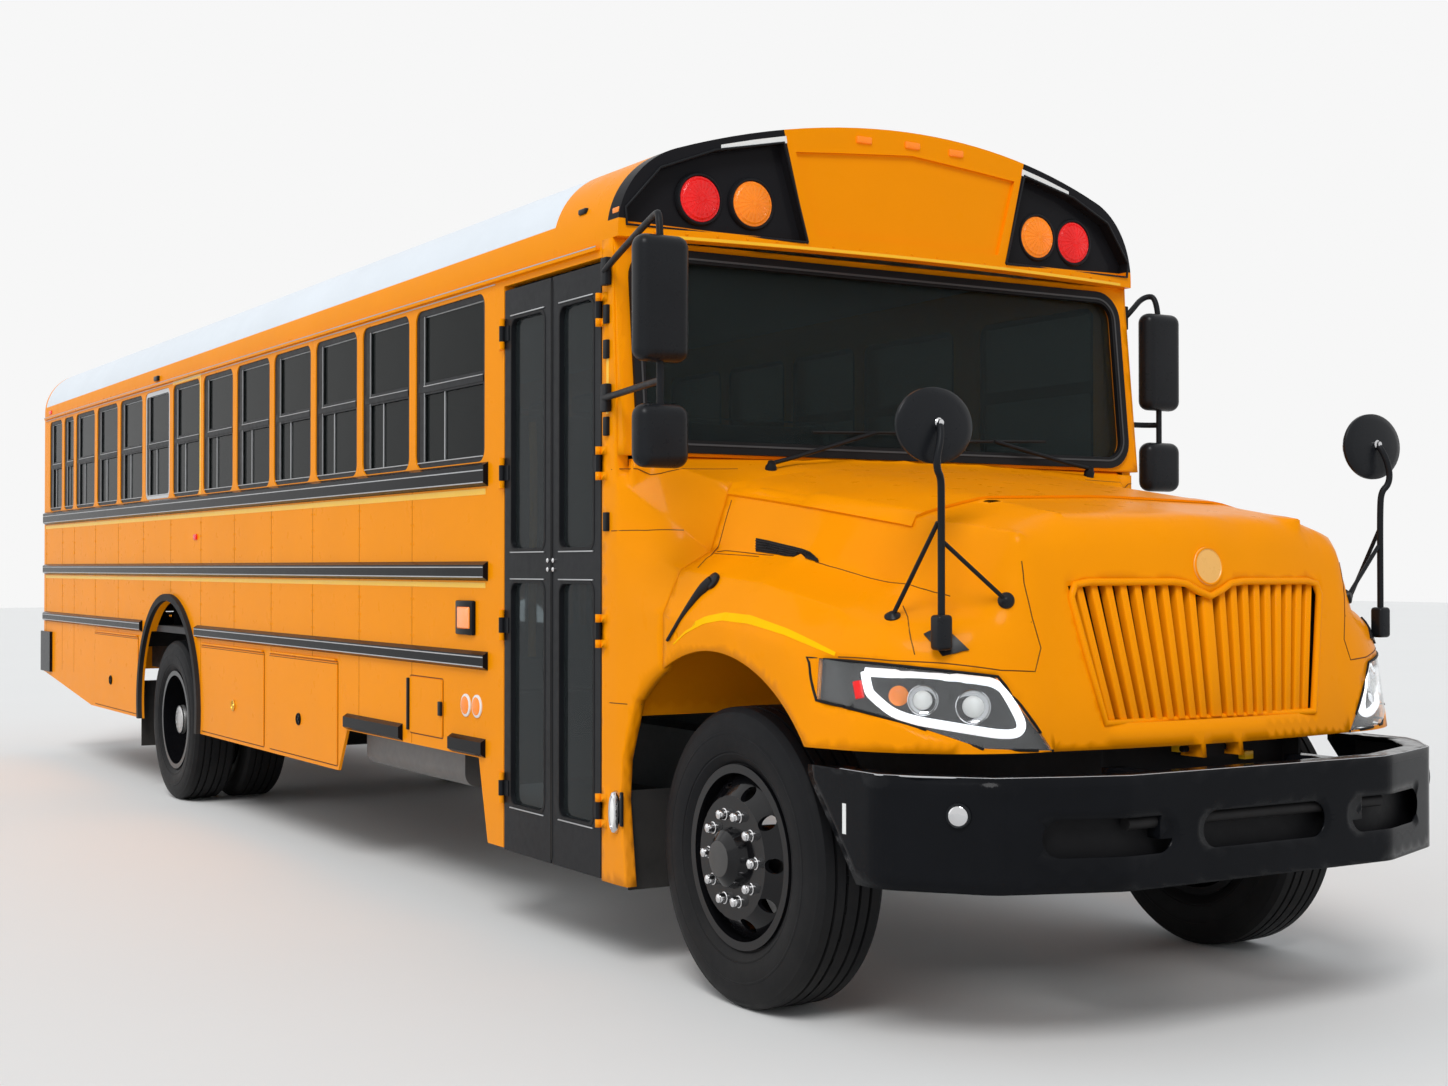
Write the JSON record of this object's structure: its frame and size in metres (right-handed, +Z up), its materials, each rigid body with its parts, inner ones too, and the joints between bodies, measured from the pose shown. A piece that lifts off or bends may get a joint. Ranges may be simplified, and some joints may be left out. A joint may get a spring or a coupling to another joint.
{
  "type": "school bus",
  "caption": "Full-size conventional school bus with a tilting hood, steered front wheels, twin rear wheels, entrance door leaves, emergency exit and stop arm.",
  "frame": {"origin": "middle of the overall box at ground level", "axes": "+Z up, front of the bus towards -Y, entrance door on the -X side"},
  "size_m": [2.945, 11.35, 3.0879],
  "materials": {
    "body_yellow": "glossy orange-yellow paint",
    "roof_white": "white paint, yellow along its lower edge",
    "chassis_black": "black chassis paint, slightly dusty",
    "trim_black": "satin black paint",
    "engine_grey": "dull cast surface",
    "steel_grey": "dull sheet steel",
    "tank_grey": "dull sheet metal",
    "spring_steel": "black spring steel",
    "rim_black": "gloss black steel wheel with bright nuts",
    "tyre_black": "road tyre rubber",
    "rubber_black": "matt rubber",
    "glass_tint": "dark tinted glass",
    "glass_clear": "clear laminated glass",
    "seat_vinyl": "dark upholstery vinyl",
    "dash_plastic": "grained plastic",
    "mirror_shell": "black moulded shells with mirror glass",
    "lamp_lens": "red and amber lenses",
    "headlamp": "clear lamp cover over a dark housing",
    "stop_red": "red octagon, left blank",
    "floor_grey": "ribbed floor covering"
  },
  "bodies": {
    "chassis": {"chassis_frame": "chassis_black", "engine_block": "engine_grey", "drive_shaft": "steel_grey", "front_axle": "chassis_black", "rear_axle": "chassis_black", "leaf_springs": "spring_steel", "front_bumper": "trim_black", "rear_bumper": "trim_black", "fuel_tank": "tank_grey", "exhaust": "steel_grey", "floor_pan": "floor_grey", "side_wall_right": "body_yellow", "side_wall_left": "body_yellow", "rear_wall": "body_yellow", "roof": "roof_white", "front_cap": "body_yellow", "cowl": "body_yellow", "windscreen": "glass_clear", "window_frames": "trim_black", "window_glass": "glass_tint", "rub_rails": "trim_black", "fender_rubber": "rubber_black", "step_well": "steel_grey", "seats": "seat_vinyl", "seat_frames": "trim_black", "dashboard": "dash_plastic", "steering_wheel": "dash_plastic", "side_mirrors": "mirror_shell", "body_lamps": "lamp_lens"},
    "hood": {"hood": "body_yellow", "grille": "body_yellow", "headlamps": "headlamp", "crossview_mirrors": "mirror_shell"},
    "entry_front": {"entry_leaf_front": "trim_black", "entry_glass_front": "glass_tint"},
    "entry_rear": {"entry_leaf_rear": "trim_black", "entry_glass_rear": "glass_tint"},
    "rear_exit": {"rear_door": "body_yellow", "rear_door_glass": "glass_tint"},
    "stop_sign": {"stop_arm": "stop_red"},
    "knuckle_right": {"knuckle_right": "chassis_black"},
    "knuckle_left": {"knuckle_left": "chassis_black"},
    "tie_rod": {"tie_rod": "chassis_black"},
    "front_wheel_right": {"front_rim_right": "rim_black", "front_tyre_right": "tyre_black"},
    "front_wheel_left": {"front_rim_left": "rim_black", "front_tyre_left": "tyre_black"},
    "rear_wheels_right": {"rear_rims_right": "rim_black", "rear_tyres_right": "tyre_black"},
    "rear_wheels_left": {"rear_rims_left": "rim_black", "rear_tyres_left": "tyre_black"}
  },
  "joints": [
    {"name": "steer_right", "type": "hinge", "parent": "chassis", "child": "knuckle_right", "pos_m": [-0.85, -4.475, 0.488], "axis": [0, 0, 1], "range_deg": [-35, 35]},
    {"name": "steer_left", "type": "hinge", "parent": "chassis", "child": "knuckle_left", "pos_m": [0.85, -4.475, 0.488], "axis": [0, 0, 1], "range_deg": [-35, 35]},
    {"name": "tie_rod_pivot", "type": "hinge", "parent": "knuckle_right", "child": "tie_rod", "pos_m": [-0.85, -4.275, 0.368], "axis": [0, 0, 1], "range_deg": [-35, 35]},
    {"name": "front_right_spin", "type": "hinge", "parent": "knuckle_right", "child": "front_wheel_right", "pos_m": [-1.0125, -4.475, 0.488], "axis": [1, 0, 0], "continuous": true},
    {"name": "front_left_spin", "type": "hinge", "parent": "knuckle_left", "child": "front_wheel_left", "pos_m": [1.0125, -4.475, 0.488], "axis": [1, 0, 0], "continuous": true},
    {"name": "rear_right_spin", "type": "hinge", "parent": "chassis", "child": "rear_wheels_right", "pos_m": [-0.8975, 2.06, 0.488], "axis": [1, 0, 0], "continuous": true},
    {"name": "rear_left_spin", "type": "hinge", "parent": "chassis", "child": "rear_wheels_left", "pos_m": [0.8975, 2.06, 0.488], "axis": [1, 0, 0], "continuous": true},
    {"name": "hood_tilt", "type": "hinge", "parent": "chassis", "child": "hood", "pos_m": [0, -5.435, 0.866], "axis": [1, 0, 0], "range_deg": [0, 60]},
    {"name": "entry_front_swing", "type": "hinge", "parent": "chassis", "child": "entry_front", "pos_m": [-1.231, -3.689, 1.4], "axis": [0, 0, 1], "range_deg": [0, 85]},
    {"name": "entry_rear_swing", "type": "hinge", "parent": "chassis", "child": "entry_rear", "pos_m": [-1.231, -2.864, 1.4], "axis": [0, 0, -1], "range_deg": [0, 85]},
    {"name": "rear_exit_swing", "type": "hinge", "parent": "chassis", "child": "rear_exit", "pos_m": [-0.46, 5.648, 1.8], "axis": [0, 0, 1], "range_deg": [0, 100]},
    {"name": "stop_arm_swing", "type": "hinge", "parent": "chassis", "child": "stop_sign", "pos_m": [1.265, -3.265, 1.61], "axis": [0, 0, -1], "range_deg": [0, 90]}
  ],
  "couplings": [
    {"joint": "steer_left", "follows": "steer_right", "ratio": 1},
    {"joint": "tie_rod_pivot", "follows": "steer_right", "ratio": -1}
  ]
}
